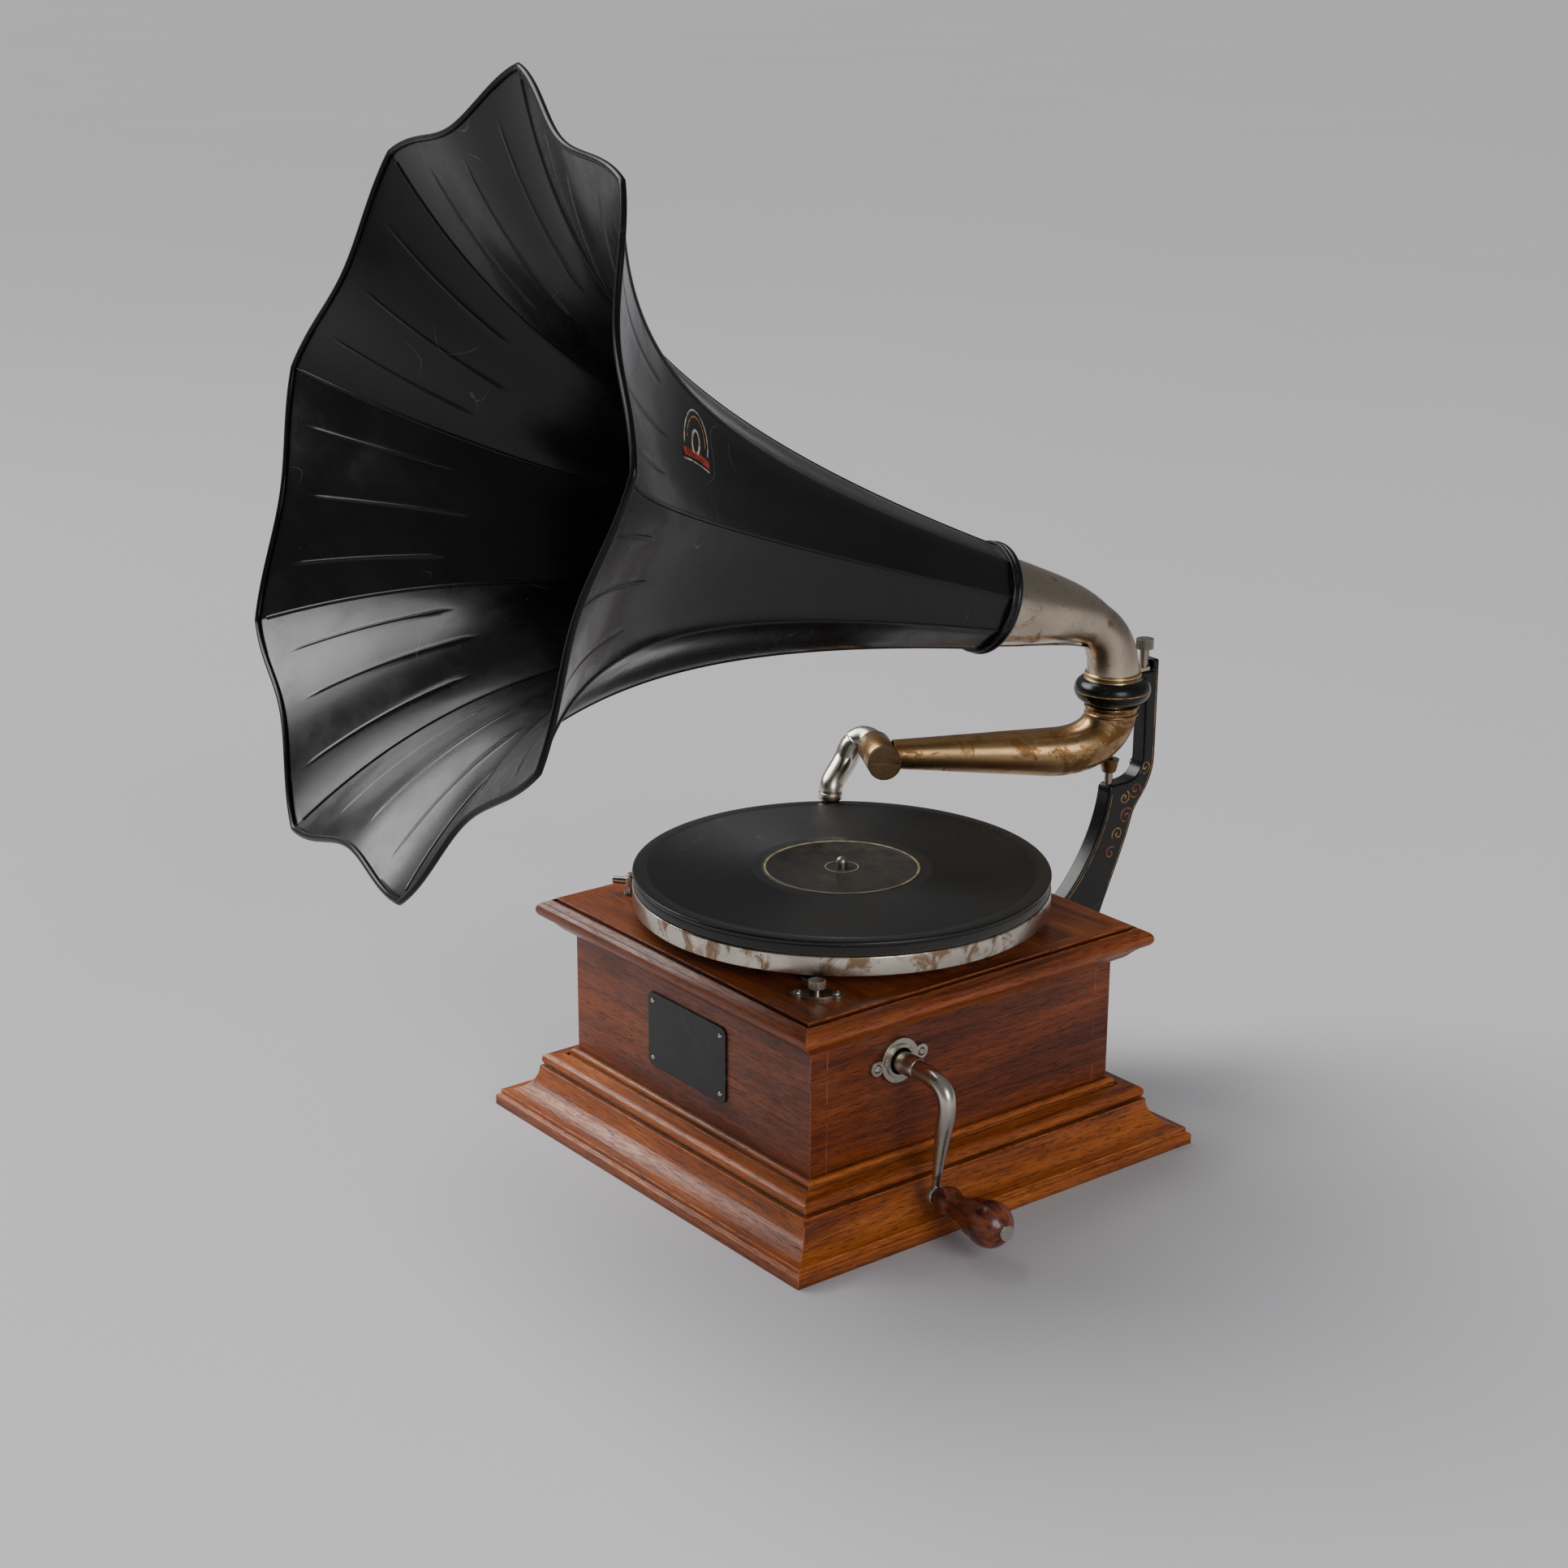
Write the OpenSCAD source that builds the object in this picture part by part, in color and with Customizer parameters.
// Table phonograph with a nine-panel outside horn.
// Z is up. The origin is the middle of the cabinet's underside, the front is -Y and the crank is on +X.

/* [Cabinet] */
// Half width of the foot of the base moulding
base_half = 154.4; // [150:0.1:160]
// Half width of the case
case_half = 116.1; // [114:0.1:118]
// Height at which the case meets the top moulding
case_top = 118; // [116:0.5:119]
// Height of the top panel's upper face
deck_z = 141.2; // [141:0.1:142]
// Half width of the raised top panel
panel_half = 124.6; // [123:0.1:125]
// Half width of the top moulding at its nose
top_half = 134.3; // [132:0.1:136]
// Thickness of the case boards
board = 12; // [10:0.5:13]

/* [Turntable] */
// Radius of the record and platter
record_r = 127; // [125:0.5:127]
// Height of the lower edge of the platter's rim
rim_z = 149.5; // [149:0.1:150]
// Height of the platter's upper face
platter_z = 161.5; // [161:0.1:161.9]
// Thickness of the felt
felt_t = 5.9; // [5.5:0.1:5.9]
// Thickness of the record
record_t = 3; // [2.5:0.1:3]
// Radius of the spindle where the record sits
spindle_r = 3.5; // [3.3:0.05:3.5]

/* [Tone arm] */
// Distance of the arm's pivot behind the spindle
pivot_y = 224.5; // [224:0.1:225]
// Angle at which the arm is parked, from straight ahead
park_angle = 29.5; // [28:0.5:31]
// Distance from the pivot to the knuckle of the gooseneck
knuckle_l = 152.6; // [151:0.1:154]
// Height of the knuckle's axis
knuckle_z = 205.4; // [205:0.1:206]
// Outer radius of the gooseneck's tube
neck_r = 7.75; // [7.5:0.05:8]

/* [Horn] */
// Number of panels
panels = 9; // [7:1:11]
// Radius at the tips of the rim
mouth_r = 225.5; // [215:0.5:228]
// Distance from the elbow's centre line to the mouth
horn_l = 487.5; // [480:0.5:490]
// Tilt of the horn above level
horn_tilt = 16.25; // [16:0.05:17]
// Turn of the horn to the left of straight ahead
horn_turn = 8.2; // [0:0.1:9]
// Thickness of the sheet metal with its enamel
sheet = 1.0; // [0.8:0.1:1.2]

/* [Crank] */
// Throw of the crank
throw = 71.5; // [70:0.5:72]
// Distance of the crank's shaft in front of the cabinet's middle
crank_y = -52.4; // [-53:0.1:-52]
// Height of the crank's shaft
crank_z = 98; // [97.9:0.1:98.1]

/* [Hidden] */
$fn = 48;

case_in = case_half - board;
floor_t = 8;
panel_t = 14.2;
panel_under = deck_z - panel_t;
rabbet = deck_z - 1.4;
record_z = platter_z + felt_t + record_t;

// Motor
plate_z = 118;
plate_t = 3;
arbor_y = crank_y;
arbor_z = 59.7;
arbor_r = 5;
great_tip = 42;
inter_tip = 6;
spindle_pinion_tip = 6.5;
mesh_gap = 0.3;
mesh_angle = 50;
inter_y = arbor_y + (great_tip + inter_tip + mesh_gap) * cos(mesh_angle);
inter_z = arbor_z + (great_tip + inter_tip + mesh_gap) * sin(mesh_angle);
ratchet_r = 14;
click_x = 76.2;
click_y = arbor_y - 18;
click_z = arbor_z + 16.8;
wind_gear_tip = crank_z - arbor_z - 12 - mesh_gap;
cheek_l = -32;
cheek_r = 80;
cheek_t = 4;
gov_x = -23;
gov_z = 36;
gov_disc_y = 22;
worm_l = 24;
worm_lead = 10.8;
worm_starts = 6;
leaf_t = 0.4;
fit = 0.05;
mitre_gap = 0.04;
lever_x = 92;
lever_y = 30;
lever_z = 112;
speed_x = 95.5;
speed_y = -95.5;
knob_offset = 1;
brake_x = -103.4;
brake_y = -83.4;
brake_lean = 103;

// Colours
oak = [0.47, 0.22, 0.09];
oak_dark = [0.36, 0.17, 0.08];
enamel = [0.05, 0.05, 0.05];
nickel = [0.62, 0.58, 0.52];
steel = [0.5, 0.5, 0.5];
brass = [0.7, 0.55, 0.25];
iron = [0.16, 0.17, 0.16];

// Points on an arc about [cx, cy], from angle a0 to a1
function arc(cx, cy, r, a0, a1, n = 8) =
  [for (i = [0 : n]) [cx + r * cos(a0 + (a1 - a0) * i / n), cy + r * sin(a0 + (a1 - a0) * i / n)]];

function unit(v) = v / norm(v);

// A point on a cubic curve with four control points
function cubic(p, t) =
  pow(1 - t, 3) * p[0] + 3 * pow(1 - t, 2) * t * p[1] + 3 * (1 - t) * t * t * p[2] + pow(t, 3) * p[3];

// Value at x on straight lines through the pairs [x, y] of table v
function along(v, x, i = 0) =
  i >= len(v) - 2 || x <= v[i + 1][0]
    ? v[i][1] + (v[i + 1][1] - v[i][1]) * (x - v[i][0]) / (v[i + 1][0] - v[i][0])
    : along(v, x, i + 1);

// Rings of n points around the points of a path; side is a direction that the path never takes
function tube_rings(path, radii, side, n) = let (m = len(path)) [
  for (i = [0 : m - 1]) let (
    t = unit(path[min(i + 1, m - 1)] - path[max(i - 1, 0)]),
    u = unit(cross(side, t)),
    w = cross(t, u)
  ) for (k = [0 : n - 1]) path[i] + radii[i] * (cos(360 * k / n) * u + sin(360 * k / n) * w)];

// An open tube with an outer and an inner wall
module pipe(path, outer, inner, side, n = 24) {
  m = len(path);
  pts = concat(tube_rings(path, outer, side, n), tube_rings(path, inner, side, n));
  q = m * n;
  faces = concat(
    [for (i = [0 : m - 2]) for (k = [0 : n - 1]) let (j = (k + 1) % n)
      [i * n + k, (i + 1) * n + k, (i + 1) * n + j, i * n + j]],
    [for (i = [0 : m - 2]) for (k = [0 : n - 1]) let (j = (k + 1) % n)
      [q + i * n + k, q + i * n + j, q + (i + 1) * n + j, q + (i + 1) * n + k]],
    [for (k = [0 : n - 1]) let (j = (k + 1) % n) [k, j, q + j, q + k]],
    [for (k = [0 : n - 1]) let (j = (k + 1) % n)
      [q - n + k, q + q - n + k, q + q - n + j, q - n + j]]);
  polyhedron(pts, faces, convexity = 6);
}

// A solid rod with the section of a circle
module rod(path, radii, side, n = 20) {
  m = len(path);
  faces = concat(
    [for (i = [0 : m - 2]) for (k = [0 : n - 1]) let (j = (k + 1) % n)
      [i * n + k, (i + 1) * n + k, (i + 1) * n + j, i * n + j]],
    [[for (k = [0 : n - 1]) k]],
    [[for (k = [n - 1 : -1 : 0]) (m - 1) * n + k]]);
  polyhedron(tube_rings(path, radii, side, n), faces, convexity = 6);
}

module along_x() {
  rotate([90, 0, 90]) children();
}

module along_y() {
  rotate([-90, 0, 0]) children();
}

// A flat gear with its tooth tips at radius tip
module gear(tip, teeth, t, bore, depth = 2) {
  pitch = 360 / teeth;
  foot = tip - depth - min(0.2, depth / 4);
  linear_extrude(t) difference() {
    union() {
      circle(tip - depth);
      for (i = [0 : teeth - 1]) rotate(i * pitch) polygon([
        [0, 0],
        [foot * cos(pitch * 0.32), -foot * sin(pitch * 0.32)],
        [tip * cos(pitch * 0.12), -tip * sin(pitch * 0.12)],
        [tip * cos(pitch * 0.12), tip * sin(pitch * 0.12)],
        [foot * cos(pitch * 0.32), foot * sin(pitch * 0.32)]]);
    }
    circle(bore);
  }
}

// A gear whose teeth cross its face at 45 degrees, so that it can drive a shaft at right angles to its own
module skew_gear(tip, teeth, t) {
  pitch = 360 / teeth;
  linear_extrude(t, twist = t / tip * 180 / PI, slices = 6) polygon([for (i = [0 : teeth - 1]) each [
    (tip - 1.4) * [cos((i - 0.3) * pitch), sin((i - 0.3) * pitch)],
    tip * [cos((i - 0.12) * pitch), sin((i - 0.12) * pitch)],
    tip * [cos((i + 0.12) * pitch), sin((i + 0.12) * pitch)],
    (tip - 1.4) * [cos((i + 0.3) * pitch), sin((i + 0.3) * pitch)]]]);
}

// Four mitred lengths of moulding around a square; profile is [distance from the middle, height]
module mitred(profile, reach) {
  for (a = [0 : 90 : 270]) rotate(a) intersection() {
    translate([-reach, 0, 0]) rotate([90, 0, 90]) linear_extrude(2 * reach) polygon(profile);
    linear_extrude(300, center = true)
      polygon([[0, mitre_gap], [reach, reach + mitre_gap], [-reach, reach + mitre_gap]]);
  }
}

// Cabinet ---------------------------------------------------------------------------------------

module base_moulding() {
  cove_r = 18;
  bead_r = 4.2;
  foot_top = 6.9;
  lip_half = base_half - 2.5;
  cove_z = 10.3;
  bead_half = lip_half - cove_r;
  profile = concat(
    [[case_half, 0], [base_half, 0]],
    arc(base_half - 1.5, foot_top - 1.5, 1.5, 0, 90, 4),
    [[lip_half, foot_top + 0.4], [lip_half, cove_z]],
    arc(lip_half, cove_z + cove_r, cove_r, 270, 180, 10),
    [[bead_half - 1, cove_z + cove_r]],
    arc(bead_half - 0.8 - bead_r, cove_z + cove_r + bead_r, bead_r, -60, 90, 8),
    [[case_half + 6, 37.2], [case_half + 5.4, 36.2], [case_half + 4.4, 36.2], [case_half + 4, 37.6]],
    arc(case_half + 1.6, 38.8, 2.4, 0, 90, 4),
    [[case_half, 41.2]]);
  color(oak) mitred(profile, base_half + 10);
}

module bottom_board() {
  color(oak_dark) translate([-case_half, -case_half, 0]) cube([2 * case_half, 2 * case_half, floor_t]);
}

module case_board(w) {
  translate([-w / 2, case_half - board, floor_t]) cube([w, board, case_top - floor_t]);
}

module case_front() {
  color(oak) rotate(180) case_board(2 * case_half);
}

module case_back() {
  color(oak) difference() {
    case_board(2 * case_half);
    bracket_bolt_places() cylinder(r = 2.5, h = 80, center = true);
  }
}

module case_left() {
  color(oak) rotate(90) case_board(2 * case_in);
}

module case_right() {
  color(oak) difference() {
    rotate(-90) case_board(2 * case_in);
    translate([case_in - 1, crank_y, crank_z]) along_x() cylinder(r = 9, h = board + 2);
  }
}

module corner_blocks() {
  leg = 20;
  color(oak_dark) for (a = [0 : 90 : 270]) rotate(a) translate([case_in, case_in, floor_t])
    linear_extrude(80) polygon([[0, 0], [-leg, 0], [0, -leg]]);
}

module top_panel() {
  color(oak) difference() {
    translate([-panel_half, -panel_half, panel_under]) cube([2 * panel_half, 2 * panel_half, panel_t]);
    translate([0, 0, panel_under - 1]) cylinder(r = 9, h = panel_t + 2);
    translate([speed_x, speed_y, panel_under - 1]) cylinder(r = 5, h = panel_t + 2);
    motor_bolt_places() translate([0, 0, panel_under - 1]) cylinder(r = 2.5, h = panel_t + 2);
  }
}

module top_moulding() {
  nose_z = 133;
  profile = concat(
    [[case_in, case_top], [case_half + 1.5, case_top]],
    [for (i = [0 : 7]) cubic([[case_half + 1.5, case_top + 1], [case_half + 7, case_top + 1],
      [case_half + 8, case_top + 7], [top_half - 3.3, nose_z - 4.6]], i / 7)],
    arc(top_half - 5, nose_z, 5, -62, 75, 10),
    [[panel_half + 2.4, rabbet], [panel_half + 2.4, rabbet - 1.2], [panel_half, rabbet - 1.2],
      [panel_half, panel_under], [case_in, panel_under]]);
  color(oak) mitred(profile, top_half + 10);
}

module nameplate() {
  w = 77;
  h = 47.5;
  r = 4.5;
  color(enamel) translate([0, -case_half, 82.6]) rotate([90, 0, 0]) linear_extrude(1.2) difference() {
    union() {
      square([w - 2 * r, h], center = true);
      square([w, h - 2 * r], center = true);
      for (x = [-1, 1]) for (z = [-1, 1]) translate([x * (w / 2 - r), z * (h / 2 - r)]) circle(r);
    }
    nameplate_pin_places() circle(0.9);
  }
}

module nameplate_pin_places() {
  for (x = [-33.5, 33.5]) for (z = [-18.5, 18.5]) translate([x, z]) children();
}

module nameplate_pins() {
  color(nickel) translate([0, -case_half, 82.6]) rotate([90, 0, 0]) nameplate_pin_places() {
    cylinder(r = 0.9, h = 1.2);
    translate([0, 0, 1.2]) intersection() {
      translate([0, 0, -0.6]) sphere(r = 1.8);
      cylinder(r = 3, h = 3);
    }
  }
}

// Places of the escutcheon's two ears, on a line that rises a little towards the back
module ear_places() {
  for (s = [-1, 1]) rotate(4.4) translate([16.4 * s, 0]) children();
}

module crank_escutcheon() {
  color(nickel) translate([case_half, crank_y, crank_z]) along_x() difference() {
    union() {
      cylinder(r = 13.5, h = 2.5);
      cylinder(r = 10.2, h = 3.6);
      linear_extrude(2.2) ear_places() circle(4.6);
      linear_extrude(2.2) rotate(4.4) square([30, 5], center = true);
    }
    translate([0, 0, -1]) cylinder(r = 8.1, h = 6);
    ear_places() translate([0, 0, -1]) cylinder(r = 1.6, h = 5);
  }
}

// A round-headed wood screw with a slot, its head's seat at z = 0
module round_screw(head = 2.7, shank = 1.6, l = 8) {
  translate([0, 0, -l]) cylinder(r = shank, h = l);
  difference() {
    intersection() {
      translate([0, 0, -head * 0.35]) sphere(r = head * 1.06);
      cylinder(r = head, h = head);
    }
    translate([-0.35, -5, head * 0.35]) cube([0.7, 10, 5]);
  }
}

module small_screws() {
  color(nickel) {
    translate([case_half + 2.2, crank_y, crank_z]) along_x() ear_places() rotate(40)
      round_screw(l = 2.2);
    translate([speed_x, speed_y, deck_z + 1.5]) rotate(48) for (s = [-1, 1])
      translate([11 * s, 0]) round_screw(l = 1.5);
  }
}

module speed_plate() {
  color(nickel) translate([speed_x, speed_y, deck_z]) rotate(48) linear_extrude(1.5) difference() {
    union() {
      circle(7);
      for (s = [-1, 1]) translate([11 * s, 0]) circle(4.7);
      intersection() {
        translate([0, 9]) circle(16);
        translate([0, -9]) circle(16);
        square([22, 20], center = true);
      }
    }
    circle(2.05);
    for (s = [-1, 1]) translate([11 * s, 0]) circle(1.6);
  }
}

// Knurled knob on its stem, with the eccentric pin that moves the regulator lever
module speed_screw() {
  color(nickel) translate([speed_x, speed_y, 0]) {
    translate([0, 0, 146]) gear(5, 30, 4.6, 0.6, 0.4);
    translate([0, 0, 117.5]) cylinder(r = 2, h = 29);
    translate([0, 0, 115.3]) cylinder(r = 4, h = 2.2);
    translate([0, knob_offset, 110.5]) cylinder(r = 1.5, h = 4.8);
  }
}

module regulator_lever() {
  color(steel) difference() {
    union() {
      translate([lever_x, lever_y, lever_z]) cylinder(r = 7, h = 2.5);
      translate([0, 0, lever_z]) linear_extrude(2.5) polygon([[lever_x - 4, lever_y],
        [speed_x - 5, speed_y - 5], [speed_x + 5, speed_y - 5], [lever_x + 4, lever_y]]);
      translate([0, 0, lever_z]) linear_extrude(2.5) polygon([[lever_x, lever_y - 4],
        [lever_x, lever_y + 4], [-15, 19], [-15, 14], [-11, 14]]);
      translate([-15, 14, 46]) cube([4, 3.2, lever_z - 45]);
    }
    translate([lever_x, lever_y, lever_z - 1]) cylinder(r = 3 + fit, h = 5);
    translate([speed_x - 1.8, speed_y - 3, lever_z - 1]) cube([3.6, 7, 5]);
  }
}

module regulator_pad() {
  color("tan") translate([-13, 17.2, 46.4]) along_y() cylinder(r = 2.6, h = 3.6);
}

// Studs that the regulator lever and the click turn on
module pivot_studs() {
  color(steel) {
    translate([lever_x, lever_y, 0]) {
      translate([0, 0, lever_z - 3.5]) cylinder(r = 5, h = 3);
      translate([0, 0, lever_z - 0.5]) cylinder(r = 3, h = panel_under - lever_z + 0.5);
    }
    translate([0, click_y, click_z]) along_x() {
      translate([0, 0, click_x - 0.4]) cylinder(r = 1.5, h = cheek_r - click_x + 0.4);
      translate([0, 0, click_x - 1.1]) cylinder(r = 2.4, h = 0.7);
    }
  }
}

module brake_post() {
  color(nickel) translate([brake_x, brake_y, deck_z]) {
    cylinder(r = 5, h = 1.5);
    cylinder(r = 1.5, h = 13);
    translate([0, 0, 11.6]) cylinder(r = 2.4, h = 1.6);
  }
}

module brake_lever() {
  out = atan2(brake_y, brake_x);
  color(nickel) translate([brake_x, brake_y, 0]) difference() {
    union() {
      translate([0, 0, 146.5]) cylinder(r = 3.4, h = 6);
      rotate(out) translate([0, 0, 149.3]) rotate([0, 90, 0]) cylinder(r = 2.4, h = 11.5);
      rotate(out - brake_lean) translate([0, -0.8, 150.2]) cube([19, 1.6, 2.3]);
    }
    translate([0, 0, 140]) cylinder(r = 1.5 + fit, h = 20);
  }
}

module brake_pad() {
  out = atan2(brake_y, brake_x);
  color("saddlebrown") translate([brake_x, brake_y, 0]) rotate(out - brake_lean)
    translate([13, -2.4, 150.3]) cube([5, 1.6, 5]);
}

// Motor -----------------------------------------------------------------------------------------

module motor_bolt_places() {
  for (p = [[-62, -70], [74, -84], [-62, 62], [70, 62]]) translate(p) children();
}

module cheek(x) {
  hull_y = [arbor_y - 22, inter_y + 10];
  translate([x, 0, 0]) along_x() linear_extrude(cheek_t) polygon([[hull_y[0], plate_z],
    [hull_y[0], arbor_z - 10], [arbor_y - 12, arbor_z - 16], [arbor_y + 12, arbor_z - 16],
    [hull_y[1], inter_z - 12], [hull_y[1], plate_z]]);
}

// Top plate with the two cheeks that carry the level shafts
module motor_plate() {
  color(iron) difference() {
    union() {
      translate([-72, -95, plate_z]) cube([158, 167, plate_t]);
      cheek(cheek_l);
      cheek(cheek_r);
      motor_bolt_places() translate([0, 0, plate_z + plate_t])
        cylinder(r = 5, h = panel_under - plate_z - plate_t);
    }
    translate([0, 0, plate_z - 1]) cylinder(r = 6, h = 10);
    motor_bolt_places() translate([0, 0, plate_z - 1]) cylinder(r = 2.5, h = 20);
    translate([cheek_l - 1, arbor_y, arbor_z]) along_x() cylinder(r = arbor_r + fit, h = 130);
    translate([cheek_l - 1, inter_y, inter_z]) along_x() cylinder(r = 3 + fit, h = 130);
    translate([cheek_r - 1, crank_y, crank_z]) along_x() cylinder(r = 4.5 + fit, h = 6);
  }
}

module motor_base() {
  color(iron) difference() {
    translate([-48, -36, 12]) cube([66, 108, 2.5]);
    translate([0, 0, 11]) cylinder(r = 6, h = 5);
  }
}

module motor_pillars() {
  color(steel) for (p = [[-42, -30], [-42, 66], [11, 66], [9.5, -30.5]]) translate(p)
    translate([0, 0, 14.5]) cylinder(r = 3, h = plate_z - 14.5);
}

module motor_bolts() {
  color(steel) motor_bolt_places() {
    translate([0, 0, 108]) cylinder(r = 2.5, h = deck_z - 108);
    translate([0, 0, deck_z]) cylinder(r = 5, h = 2.6);
    translate([0, 0, plate_z - 4]) cylinder(r = 4.6, h = 4, $fn = 6);
  }
}

module spindle_bushings() {
  color(brass) {
    difference() {
      translate([0, 0, 113]) cylinder(r = 6, h = 30);
      translate([0, 0, 112]) cylinder(r = spindle_r + fit, h = 40);
    }
    difference() {
      translate([0, 0, 9]) cylinder(r = 6, h = 12);
      translate([0, 0, 11.5]) cylinder(r = spindle_r + fit, h = 40);
    }
  }
}

module governor_bearings() {
  color(iron) for (y = [-22, 62]) difference() {
    union() {
      translate([gov_x - 4, y, 14.5]) cube([8, 4, gov_z - 14.5]);
      translate([gov_x, y, gov_z]) along_y() cylinder(r = 4, h = 4);
    }
    translate([gov_x, y - 1, gov_z]) along_y() cylinder(r = 1.5 + fit, h = 6);
  }
}

module spindle() {
  color(steel) {
    translate([0, 0, 12]) cylinder(r = spindle_r, h = record_z + 3 - 12);
    translate([0, 0, record_z + 3]) intersection() {
      sphere(r = spindle_r);
      cylinder(r = 5, h = 5);
    }
    translate([0, 0, 144]) cylinder(r = 8, h = 6);
    translate([0, 0, inter_z - 8]) skew_gear(spindle_pinion_tip, 10, 16);
  }
  color(brass) translate([0, 0, gov_z - 3]) gear(17.7, 60, 6, spindle_r, 1);
}

module intermediate_shaft() {
  color(steel) translate([cheek_l + 0.5, inter_y, inter_z]) along_x()
    cylinder(r = 3, h = cheek_r + cheek_t - cheek_l - 1);
  color(brass) translate([-4, inter_y, inter_z]) along_x()
    skew_gear(-inter_y - spindle_pinion_tip - mesh_gap, 30, 8);
  color(steel) translate([12, inter_y, inter_z]) along_x() gear(inter_tip, 12, 7, 3, 1.6);
}

module spring_barrel() {
  color(steel) translate([14, arbor_y, arbor_z]) along_x() {
    gear(great_tip, 84, 3, arbor_r + fit, 2);
    translate([0, 0, 3]) difference() {
      cylinder(r = 39, h = 49);
      translate([0, 0, 1.5]) cylinder(r = 37.5, h = 46);
      translate([0, 0, -1]) cylinder(r = arbor_r + fit, h = 60);
    }
  }
}

// Flat spring wound in a spiral
module mainspring() {
  turns = 8;
  step = 15;
  count = turns * 360 / step;
  inner = 10;
  pitch = 3.29;
  strip = 1.1;
  spiral = function (i, off) let (r = inner + off + pitch * i * step / 360)
    [r * cos(i * step), r * sin(i * step)];
  color([0.25, 0.28, 0.35]) translate([20, arbor_y, arbor_z]) along_x() linear_extrude(42) polygon(
    concat([for (i = [0 : count]) spiral(i, 0)], [for (i = [count : -1 : 0]) spiral(i, strip)]));
}

module winding_arbor() {
  color(steel) translate([0, arbor_y, arbor_z]) along_x() {
    translate([0, 0, cheek_l + 0.5]) cylinder(r = arbor_r, h = cheek_r + cheek_t - cheek_l - 1);
    translate([0, 0, 70]) gear(wind_gear_tip, 26, 5, arbor_r, 2.4);
    translate([0, 0, 76.2]) linear_extrude(2.6) difference() {
      union() for (i = [0 : 11]) rotate(30 * i) polygon([[0, 0], [ratchet_r - 2.5, 0],
        [ratchet_r * cos(27), ratchet_r * sin(27)], [(ratchet_r - 2.5) * cos(31), (ratchet_r - 2.5) * sin(31)]]);
      circle(arbor_r);
    }
  }
}

module winding_shaft() {
  color(steel) translate([0, crank_y, crank_z]) along_x() {
    translate([0, 0, 67.5]) cylinder(r = 4.5, h = 58.5);
    translate([0, 0, 70]) gear(12, 12, 5, 3, 2.4);
    translate([0, 0, 85]) cylinder(r = 7, h = 3);
  }
}

// Click that keeps the arbor from unwinding; it lies over the ratchet wheel, clear of its tips
module ratchet_click() {
  eye = [for (a = [75 : 15 : 270]) 3.6 * [cos(a), sin(a)]];
  color(steel) translate([click_x, click_y, click_z]) along_x() linear_extrude(2.6) difference() {
    polygon(concat(eye, [[15.6, -2.2], [16.2, -0.2]]));
    circle(1.5 + fit);
  }
}

module governor_shaft() {
  color(steel) translate([gov_x, 0, gov_z]) along_y() {
    translate([0, 0, -21.5]) cylinder(r = 1.5, h = 87);
    translate([0, 0, -worm_l / 2]) linear_extrude(worm_l, twist = 360 * worm_l / worm_lead, slices = 20)
      polygon([for (i = [0 : 2 * worm_starts - 1]) let (r = i % 2 == 0 ? 5 : 4, a = 180 * i / worm_starts)
        r * [cos(a), sin(a)]]);
    translate([0, 0, 54]) cylinder(r = 5, h = 5);
  }
}

// Three bowed leaf springs between the collar and the disc's hub
module governor_springs() {
  bow = 5;
  half = 14;
  n = 8;
  curve = [for (i = [-n : n]) [i * half / n, bow * (1 - pow(i / n, 2))]];
  strip = concat([[-half - 3, 0]], curve, [[half + 3, 0], [half + 3, leaf_t]],
    [for (i = [n : -1 : -n]) curve[i + n] + [0, leaf_t]], [[-half - 3, leaf_t]]);
  color(steel) governor_arms() translate([0, 0, 5]) along_x() linear_extrude(3, center = true)
    polygon(strip);
}

module governor_arms() {
  for (a = [0 : 120 : 240]) translate([gov_x, 40, gov_z]) rotate([0, a, 0]) children();
}

module governor_weights() {
  color(brass) governor_arms() translate([0, 0, 10 + leaf_t]) {
    cylinder(r = 2.2, h = 2);
    translate([0, 0, 2]) sphere(r = 2.2);
  }
}

module governor_disc() {
  color(steel) translate([gov_x, gov_disc_y, gov_z]) along_y() difference() {
    union() {
      cylinder(r = 15, h = 1.6);
      cylinder(r = 5, h = 4);
    }
    translate([0, 0, -1]) cylinder(r = 1.5, h = 8);
  }
}

// Turntable -------------------------------------------------------------------------------------

module platter() {
  color(nickel) rotate_extrude($fn = 96) polygon(concat(
    [[spindle_r, 150], [12, 150], [12, 156], [16, platter_z - 3], [record_r - 2.4, platter_z - 3],
      [record_r - 2.4, rim_z]],
    arc(record_r - 0.8, rim_z + 0.8, 0.8, 270, 360, 3),
    arc(record_r - 1, platter_z - 1, 1, 0, 90, 3),
    [[spindle_r, platter_z]]));
}

module turntable_felt() {
  color([0.08, 0.07, 0.06]) difference() {
    translate([0, 0, platter_z]) cylinder(r = record_r - 0.9, h = felt_t, $fn = 96);
    translate([0, 0, platter_z - 1]) cylinder(r = spindle_r, h = felt_t + 2);
  }
}

module record() {
  z0 = platter_z + felt_t;
  color([0.07, 0.07, 0.07]) rotate_extrude($fn = 96) polygon(concat(
    [[spindle_r, z0], [record_r - 1, z0], [record_r, z0 + 1]],
    arc(record_r - 0.8, record_z - 0.8, 0.8, 0, 90, 3),
    [[record_r - 8.5, record_z], [record_r - 9, record_z - 0.15], [55, record_z - 0.15],
      [54.5, record_z - 0.1], [spindle_r, record_z - 0.1]]));
}

module record_label() {
  color([0.1, 0.09, 0.08]) difference() {
    translate([0, 0, record_z - 0.1]) cylinder(r = 48.6, h = 0.1, $fn = 96);
    translate([0, 0, record_z - 1]) cylinder(r = spindle_r, h = 3);
  }
}

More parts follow.
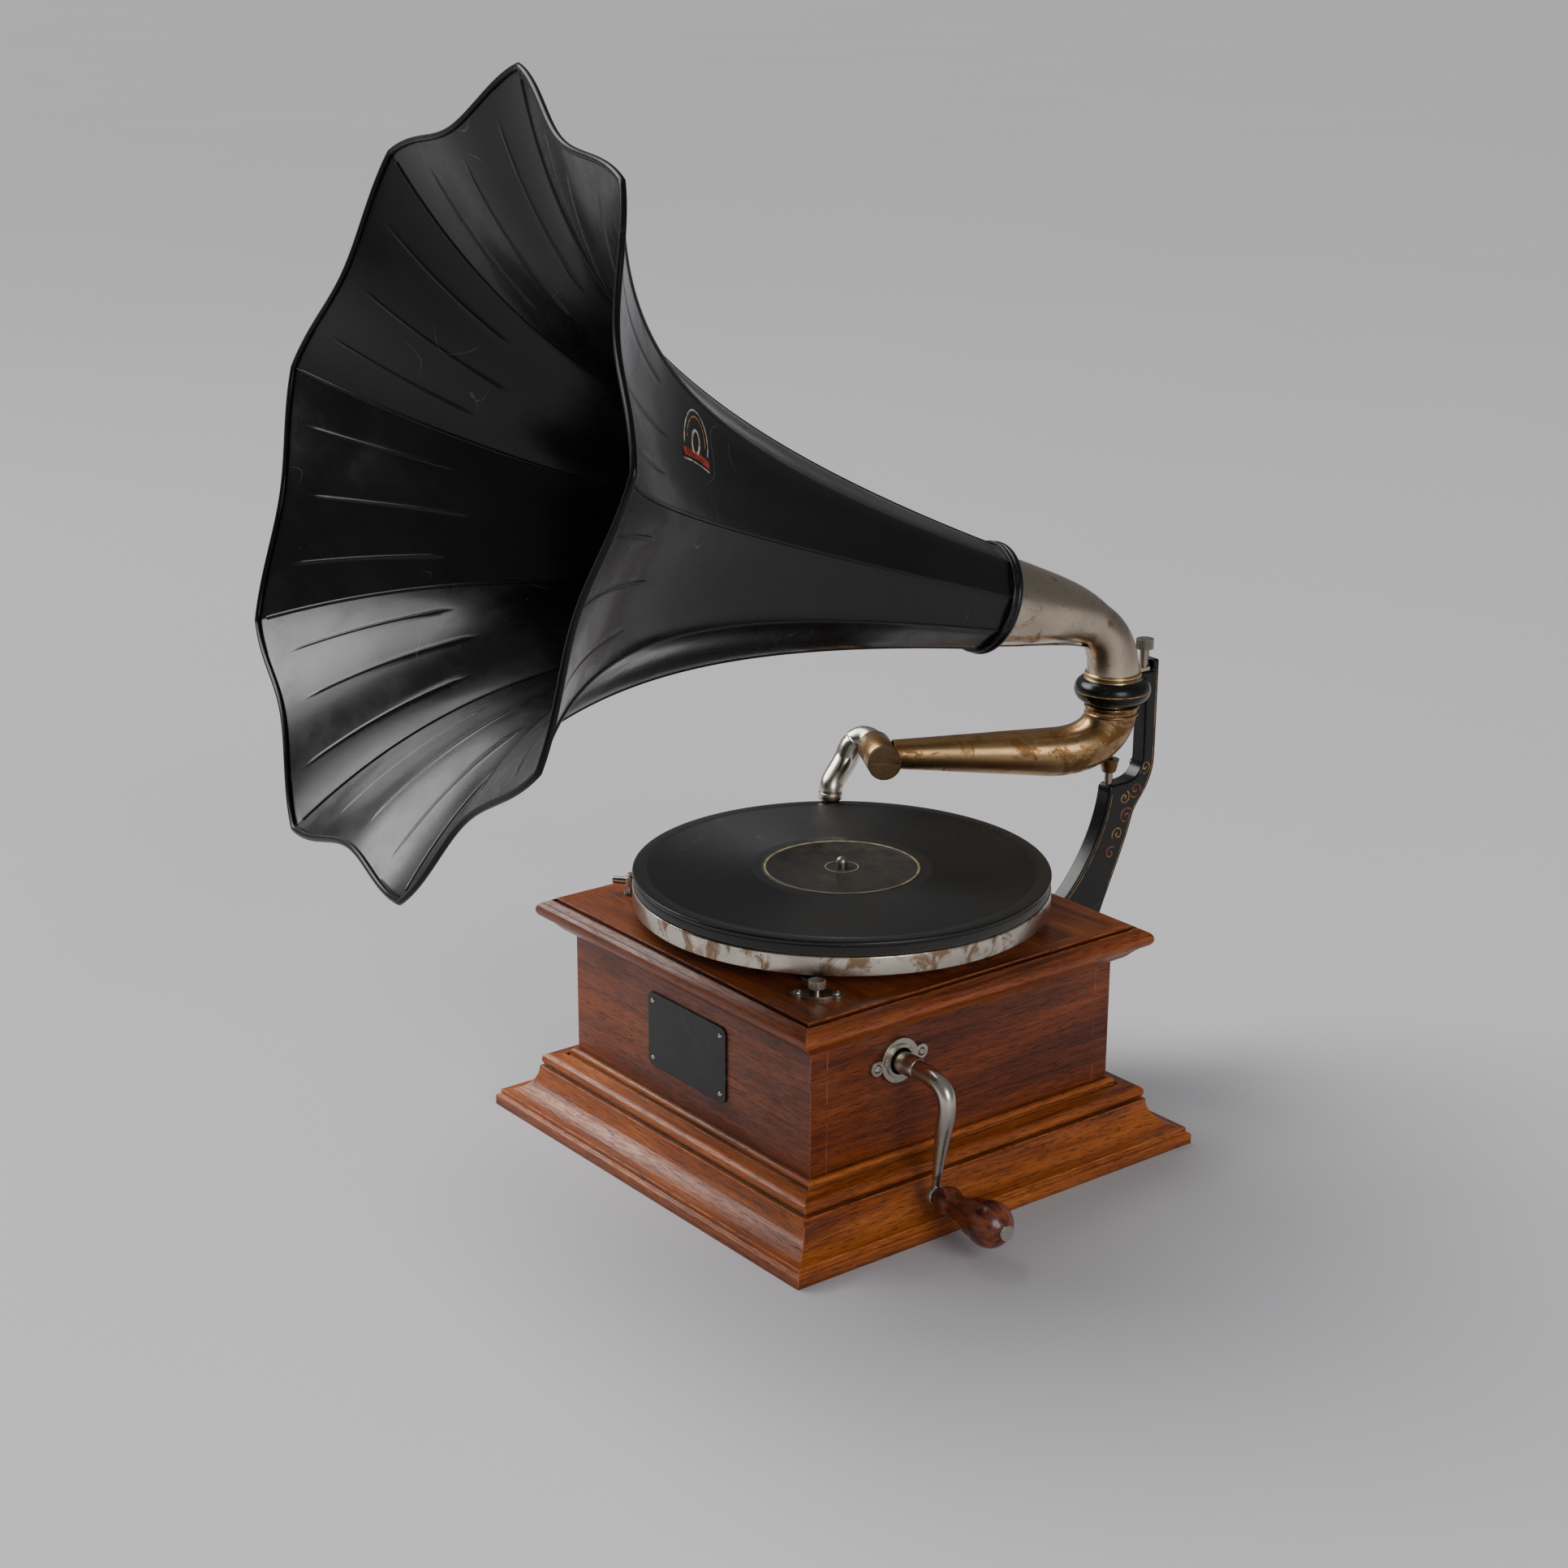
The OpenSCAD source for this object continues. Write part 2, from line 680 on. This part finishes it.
// Bracket ---------------------------------------------------------------------------------------

module bracket_bolt_places() {
  for (x = [-18, 18]) for (z = [58, 92]) translate([x, case_half, z]) rotate([-90, 0, 0]) children();
}

module horn_bracket() {
  w = 12;
  shelf_z = 179.5;
  side = concat(
    [[case_half + 5, 50]],
    [for (i = [1 : 8]) cubic([[case_half + 5, 50], [175, 46], [208, 68], [218, 96]], i / 8)],
    [for (i = [1 : 5]) cubic([[218, 96], [227, 117], [238, 138], [243, 156]], i / 5)],
    [for (i = [1 : 6]) cubic([[243, 156], [247, 166], [261, 173], [261, 194]], i / 6)],
    [[261, 259], [256, 259], [256, 252], [246, 252], [246, 240], [250.7, 236], [250.7, 194]],
    [for (i = [1 : 6]) cubic([[250.7, 194], [250.7, 184], [244, shelf_z], [234, shelf_z]], i / 6)],
    [[222.6, shelf_z], [220.6, shelf_z - 2]],
    [for (i = [1 : 8]) cubic([[220.6, shelf_z - 2], [219, 158], [207, 131], [186.3, 111.5]], i / 8)],
    [for (i = [1 : 8]) cubic([[186.3, 111.5], [170, 97], [150, 88], [case_half + 5, 84]], i / 8)]);
  color(enamel) difference() {
    union() {
      translate([-w / 2, 0, 0]) rotate([90, 0, 90]) linear_extrude(w) polygon(side);
      translate([-27, case_half, 46]) cube([54, 5, 58]);
      translate([0, pivot_y, 243.6]) rotate_extrude($fn = 72) difference() {
        translate([18.5, 0]) circle(6.3);
        translate([10, -10]) square([5.1, 20]);
      }
    }
    translate([0, pivot_y, 160]) cylinder(r = 2.65, h = 40);
    translate([0, pivot_y, 200]) cylinder(r = 15.1, h = 60);
    translate([0, pivot_y + 28, 240]) cylinder(r = 2 + fit, h = 30);
    bracket_bolt_places() cylinder(r = 2.5, h = 20, center = true);
  }
}

module bracket_bolts() {
  color(steel) bracket_bolt_places() {
    translate([0, 0, -board - 3.4]) cylinder(r = 2.5, h = board + 8.4);
    translate([0, 0, 5]) cylinder(r = 4.6, h = 3.2, $fn = 6);
    translate([0, 0, -board - 3.4]) cylinder(r = 4.6, h = 3.4, $fn = 6);
  }
}

module arm_pivot_screw() {
  color(steel) translate([0, pivot_y, 0]) {
    translate([0, 0, 168]) cylinder(r = 2.65, h = 22.5);
  }
}

// Tone arm --------------------------------------------------------------------------------------

// The arm's own frame has its pivot on Z and the arm towards -Y
module parked() {
  translate([0, pivot_y, 0]) rotate(-park_angle) children();
}

module tone_arm() {
  bend_l = 40;
  arm_z = 202.5;
  end_r = 8.9;
  full_r = 16;
  bend = [for (i = [0 : 12]) cubic([[0, 0, 231], [0, 0, 220], [0, -8, arm_z], [0, -bend_l, arm_z]],
    i / 12)];
  straight = [for (i = [1 : 4]) [0, -bend_l - (knuckle_l - bend_l) * i / 4,
    arm_z + (knuckle_z - arm_z) * i / 4]];
  radii = concat([for (i = [0 : 12]) 16.8 - 0.8 * i / 12],
    [for (i = [1 : 4]) full_r - (full_r - end_r) * i / 4]);
  color(nickel) parked() difference() {
    union() {
      difference() {
        pipe(concat(bend, straight), radii, [for (r = radii) r - 1.5], [1, 0, 0], 28);
        translate([-60, -knuckle_l, knuckle_z]) rotate([0, 90, 0]) cylinder(r = 9.3, h = 120);
        translate([-60, -knuckle_l - 20, knuckle_z - 30]) cube([120, 20, 60]);
      }
      difference() {
        translate([-16.7, -knuckle_l, knuckle_z]) rotate([0, 90, 0]) cylinder(r = 11, h = 33.5);
        translate([0, -knuckle_l + 8, knuckle_z]) rotate([-90, 0, 0]) cylinder(r = 7.4, h = 5);
      }
      translate([0, 0, 231]) cylinder(r = 17, h = 2.4);
      translate([0, 0, 232.8]) rotate_extrude() translate([16.4, 0]) circle(1.5);
      translate([0, 0, 228]) rotate_extrude() translate([16.6, 0]) circle(1);
      difference() {
        translate([0, 0, 233]) cylinder(r = 15.04, h = 10);
        translate([0, 0, 230]) cylinder(r = 13.5, h = 20);
      }
      translate([0, 0, 187.5]) cylinder(r1 = 4.4, r2 = 6.5, h = 9, $fn = 32);
    }
    translate([-20, -knuckle_l, knuckle_z]) rotate([0, 90, 0]) cylinder(r = 9.3, h = 50);
    translate([0, 0, 230]) cylinder(r = 13.5, h = 20);
    translate([0, 0, 180]) cylinder(r = 2.65 + fit, h = 10.6);
  }
}

// Curved tube from the knuckle down to the open end that takes the sound box
module gooseneck() {
  mouth = [-17.5, 28.4];
  top = [[-17, 0, 0], [-31, 0, 1], [-31, 9, 6], [-29, 15, -8]];
  low = [[-29, 15, -8], [-27.6, 19.5, -19], [-18, 28.4, -21], [mouth[0], mouth[1], -29]];
  path = [for (p = concat([for (i = [0 : 10]) cubic(top, i / 10)], [for (i = [1 : 8]) cubic(low, i / 8)]))
    [p[0], -knuckle_l - p[1], knuckle_z + p[2]]];
  end_r = neck_r - 0.3;
  outer = [for (i = [0 : 18]) 9.2 + (end_r - 9.2) * i / 18];
  color(nickel) parked() {
    pipe(path, outer, [for (r = outer) r - 1.2], [0, 1, 1], 24);
    translate([mouth[0], -knuckle_l - mouth[1], knuckle_z - 34.2]) difference() {
      union() {
        cylinder(r = neck_r, h = 4.8);
        translate([0, 0, 3]) cylinder(r = neck_r - 0.6, h = 3);
      }
      translate([0, 0, -1]) cylinder(r = neck_r - 1.2, h = 8);
    }
    translate([-17, -knuckle_l, knuckle_z]) rotate([0, 90, 0]) difference() {
      cylinder(r = 9.25, h = 30);
      translate([0, 0, -1]) cylinder(r = 7.6, h = 29);
      translate([0, 0, 17]) rotate([-90, 0, 0]) cylinder(r = 7.4, h = 20);
    }
  }
}

module knuckle_cap() {
  color(brass) parked() translate([16.8, -knuckle_l, knuckle_z]) rotate([0, 90, 0]) difference() {
    cylinder(r = 11, h = 3.4);
    translate([-0.6, -15, 2.2]) cube([1.2, 30, 3]);
  }
}

// Horn ------------------------------------------------------------------------------------------

// The horn's frame has its origin where its axis meets the elbow's upright axis, and Z along the horn
elbow_z = 287;
ring_s = 104;

module horn_frame() {
  translate([0, pivot_y, elbow_z]) rotate([90 - horn_tilt, 0, -horn_turn]) children();
}

horn_axis = [-sin(horn_turn) * cos(horn_tilt), -cos(horn_turn) * cos(horn_tilt), sin(horn_tilt)];

module horn_elbow() {
  start = [0, pivot_y, elbow_z] + ring_s * horn_axis;
  finish = [0, pivot_y, 251.6];
  curve = [start, start - 64 * horn_axis, finish + [0, 0, 46], finish];
  radii_at = [[0, 29.3], [0.6, 14.6], [0.85, 16.2], [1, 17]];
  steps = 22;
  radii = [for (i = [0 : steps]) along(radii_at, i / steps)];
  color(nickel) difference() {
    union() {
      pipe([for (i = [0 : steps]) cubic(curve, i / steps)], radii, [for (r = radii) r - 1.2],
        [cos(horn_turn), -sin(horn_turn), 0], 28);
      horn_frame() translate([0, 0, ring_s - 0.5]) difference() {
        cylinder(r = 29.6, h = 22);
        translate([0, 0, -1]) cylinder(r = 27.8, h = 30);
      }
      translate([0, pivot_y, 244.2]) cylinder(r = 15.1, h = 8);
      translate([0, pivot_y, 250]) rotate_extrude() polygon([[13, 0], [18.4, 0], [19, 1], [18.4, 2],
        [17.9, 2.4], [17.5, 4], [13, 4]]);
      translate([0, pivot_y, 252]) linear_extrude(3) polygon([[-5, 14.5], [5, 14.5], [5, 29.5], [3.2, 31.5],
        [-3.2, 31.5], [-5, 29.5]]);
    }
    translate([0, pivot_y, 240]) cylinder(r = 13.5, h = 16);
    translate([0, pivot_y + 28, 250]) cylinder(r = 2 + fit, h = 10);
  }
}

module thumbscrew() {
  color(steel) translate([0, pivot_y + 28, 0]) {
    translate([0, 0, 241]) cylinder(r = 2, h = 14.1);
    translate([0, 0, 255.1]) cylinder(r = 3.1, h = 11);
    translate([0, 0, 266]) gear(5.8, 30, 6.6, 0.5, 0.4);
  }
}

throat_s = 110;

// Radius of a seam at distance s along the horn
function seam_r(s) = let (t = (s - throat_s) / (horn_l - throat_s))
  33 * exp(t * (ln(mouth_r / 33) - 0.46 + 0.46 * t * t * t));

// How far a panel dips below its seams, as a share of the radius
function dip(s) = let (t = (s - throat_s) / (horn_l - throat_s)) 0.03 + 0.076 * t * t;

// Shape of the dip across a panel, from 0 at a seam to 1 in the middle
function dip_shape(u) = 0.47 * (1 - cos(180 * u)) / 2 + 0.53 * sin(90 * u);

function seam_angle(i) = 92 + 360 / panels * i;

// A point of the horn's sheet: s along the horn, f from 0 to 1 across panel i, off outwards
function sheet_point(s, i, f, off) = let (
    a = seam_angle(i) + 360 / panels * f,
    u = 1 - abs(2 * f - 1),
    r = seam_r(s) * (1 - dip(s) * dip_shape(u)) + off)
  [r * cos(a), r * sin(a), s];

module horn_panel(i) {
  rows = 20;
  cols = 8;
  edge = 0.0008;
  grid = function (off) [for (j = [0 : rows]) let (t = j / rows,
      s = throat_s + (horn_l - throat_s) * (1 - pow(1 - t, 1.5)))
    for (k = [0 : cols]) sheet_point(s, i, edge + (1 - 2 * edge) * k / cols, off)];
  w = cols + 1;
  q = (rows + 1) * w;
  faces = concat(
    [for (j = [0 : rows - 1]) for (k = [0 : cols - 1]) each [
      [j * w + k, (j + 1) * w + k, (j + 1) * w + k + 1], [j * w + k, (j + 1) * w + k + 1, j * w + k + 1],
      [q + j * w + k, q + (j + 1) * w + k + 1, q + (j + 1) * w + k],
      [q + j * w + k, q + j * w + k + 1, q + (j + 1) * w + k + 1]]],
    [for (j = [0 : rows - 1]) each [
      [j * w, q + j * w, q + (j + 1) * w, (j + 1) * w],
      [j * w + cols, (j + 1) * w + cols, q + (j + 1) * w + cols, q + j * w + cols]]],
    [for (k = [0 : cols - 1]) each [
      [k, k + 1, q + k + 1, q + k],
      [rows * w + k, q + rows * w + k, q + rows * w + k + 1, rows * w + k + 1]]]);
  polyhedron(concat(grid(0), grid(-sheet)), faces, convexity = 4);
}

module horn_panels() {
  color(enamel) horn_frame() for (i = [0 : panels - 1]) horn_panel(i);
}

// Wire that the edge of the sheet is rolled around
module horn_rim_wire() {
  per = 12;
  n = panels * per;
  sides = 6;
  wire_r = 2;
  centre = [for (m = [0 : n - 1]) sheet_point(horn_l + wire_r, floor(m / per), (m % per) / per, -1)];
  ring = [for (m = [0 : n - 1]) let (
      t = unit(centre[(m + 1) % n] - centre[(m + n - 1) % n]),
      u = unit(cross([0, 0, 1], t)))
    for (k = [0 : sides - 1]) centre[m]
      + wire_r * (cos(360 * k / sides) * u + sin(360 * k / sides) * [0, 0, 1])];
  faces = [for (m = [0 : n - 1]) for (k = [0 : sides - 1]) let (e = (m + 1) % n, j = (k + 1) % sides)
    [m * sides + k, m * sides + j, e * sides + j, e * sides + k]];
  color(enamel) horn_frame() polyhedron(ring, faces, convexity = 8);
}

module horn_collar() {
  color(enamel) horn_frame() rotate_extrude($fn = 72) difference() {
    union() {
      translate([29.6, ring_s - 1]) square([4.2, 6.6]);
      translate([33.2, ring_s + 0.6]) circle(2.4);
      translate([33.2, ring_s + 4.6]) circle(2);
    }
    translate([20, ring_s - 10]) square([9.6, 30]);
    translate([20, throat_s]) square([20, 10]);
  }
}

// Crank -----------------------------------------------------------------------------------------

crank_x = 152;

module crank() {
  curve = [[132, 0, 0], [156, 0, 0], [163, 0, -4], [158, 0, -26]];
  down = [[158, 0, -26], [155, 0, -40], [153, 0, -54], [crank_x - 0.3, 0, -throw + 5]];
  path = concat([for (i = [0 : 10]) cubic(curve, i / 10)], [for (i = [1 : 6]) cubic(down, i / 6)]);
  radii = concat([for (i = [0 : 10]) 5.6 - 0.6 * i / 10], [for (i = [1 : 6]) 5 - 2.7 * i / 6]);
  color(nickel) translate([0, crank_y, crank_z]) {
    rod(path, radii, [0, 1, 0]);
    difference() {
      translate([112, 0, 0]) along_x() cylinder(r = 6.6, h = 22);
      translate([111, 0, 0]) along_x() cylinder(r = 4.5, h = 15);
    }
    difference() {
      translate([crank_x - 2, 0, -throw]) along_x() cylinder(r = 6.4, h = 4);
      translate([crank_x - 3, 0, -throw]) along_x() cylinder(r = 2.2, h = 6);
    }
  }
}

// Turned handle that spins on its rivet
module crank_handle() {
  l = 58;
  color([0.3, 0.12, 0.06]) translate([crank_x + 2.4, crank_y, crank_z - throw]) along_x() difference() {
    rotate_extrude($fn = 64) polygon(concat(
      [[0, 0], [5.4, 0]],
      arc(0, 8.4, 8.8, -52, 34, 8),
      [for (i = [1 : 10]) cubic([[7.3, 13.4], [6, 19], [9, 25], [11.6, 31]], i / 10)],
      arc(0, 43, 13.6, -28, 62, 12),
      [[5.2, l - 2], [0, l - 2]]));
    translate([0, 0, -1]) cylinder(r = 2.2 + fit, h = l + 2);
  }
}

module handle_rivet() {
  color(nickel) translate([crank_x - 2, crank_y, crank_z - throw]) along_x() {
    translate([0, 0, -1]) cylinder(r = 3.6, h = 1);
    cylinder(r = 2.2, h = 61);
    translate([0, 0, 60.6]) cylinder(r = 4.6, h = 1.6);
  }
}

base_moulding();
bottom_board();
case_front();
case_back();
case_left();
case_right();
corner_blocks();
top_panel();
top_moulding();
nameplate();
nameplate_pins();
crank_escutcheon();
small_screws();
speed_plate();
speed_screw();
regulator_lever();
regulator_pad();
pivot_studs();
brake_post();
brake_lever();
brake_pad();
motor_plate();
motor_base();
motor_pillars();
motor_bolts();
spindle_bushings();
governor_bearings();
spindle();
intermediate_shaft();
spring_barrel();
mainspring();
winding_arbor();
winding_shaft();
ratchet_click();
governor_shaft();
governor_springs();
governor_weights();
governor_disc();
platter();
turntable_felt();
record();
record_label();
horn_bracket();
bracket_bolts();
arm_pivot_screw();
tone_arm();
gooseneck();
knuckle_cap();
horn_elbow();
thumbscrew();
crank();
crank_handle();
handle_rivet();
horn_panels();
horn_rim_wire();
horn_collar();
